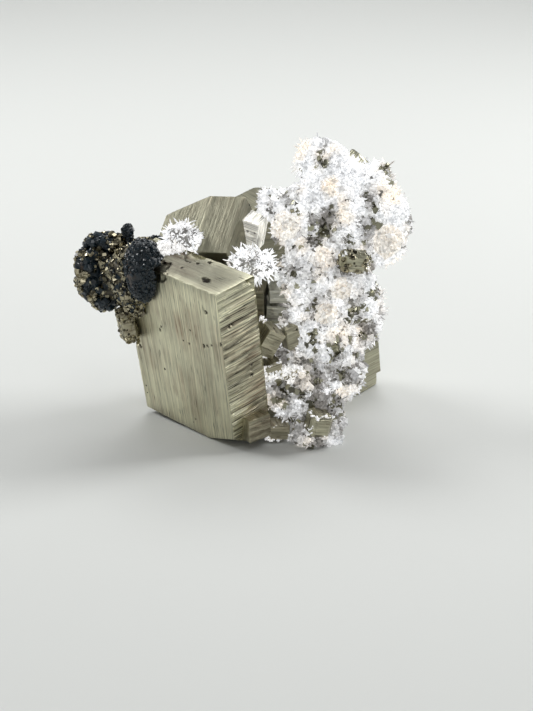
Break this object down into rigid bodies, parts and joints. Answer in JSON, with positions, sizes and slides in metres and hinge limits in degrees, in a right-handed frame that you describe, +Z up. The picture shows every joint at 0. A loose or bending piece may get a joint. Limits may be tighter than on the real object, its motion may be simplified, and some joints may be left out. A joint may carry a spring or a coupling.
{
  "type": "pyrite specimen",
  "caption": "Free-standing mineral specimen: striated pyrite blocks grown together, with black sphalerite, a golden pyrite crust, white quartz druse and cream dolomite.",
  "frame": {"origin": "middle of the specimen's footprint box, on the surface it rests on", "axes": "+X to the right with the large striated block at the front left, +Y to the back, +Z up"},
  "size_m": [0.068, 0.051, 0.0574],
  "materials": {
    "pyrite": "metallic khaki brass, finely striated faces with worn edges and brown tarnish",
    "fine_pyrite": "glittering golden crust of tiny metallic crystals",
    "sphalerite": "blue-black, resinous, granular and faceted",
    "quartz": "white frosty druse of small translucent needles",
    "dolomite": "cream to peach, satin, small curved rhombs"
  },
  "bodies": {
    "root": {"back_pyrite_block": "pyrite", "belt_pyrite_crystal": "pyrite", "bright_pyrite_cube": "pyrite", "brown_pyrite_cube": "pyrite", "crown_pyrite_crystal": "pyrite", "foot_pyrite_block": "pyrite", "foot_pyrite_cube": "pyrite", "front_sphalerite": "sphalerite", "gap_lower_pyrite_slab": "pyrite", "gap_upper_pyrite_slab": "pyrite", "knob_pyrite_crystal": "pyrite", "ledge_pyrite_cube": "pyrite", "left_quartz_tuft": "quartz", "left_sphalerite": "sphalerite", "lower_sphalerite": "sphalerite", "main_pyrite_block": "pyrite", "middle_dolomite": "dolomite", "middle_pyrite_cube": "pyrite", "middle_quartz_tuft": "quartz", "niche_pyrite_cube": "pyrite", "nub_sphalerite": "sphalerite", "pyrite_crust": "fine_pyrite", "quartz_druse": "quartz", "rear_pyrite_cube": "pyrite", "rear_sphalerite": "sphalerite", "ridge_sphalerite": "sphalerite", "right_lower_pyrite_block": "pyrite", "right_pyrite_block": "pyrite", "toe_pyrite_crystal": "pyrite", "upper_left_dolomite": "dolomite", "upper_pyrite_block": "pyrite", "upper_right_dolomite": "dolomite", "waist_dolomite": "dolomite", "wedge_pyrite_cube": "pyrite"}
  },
  "joints": []
}
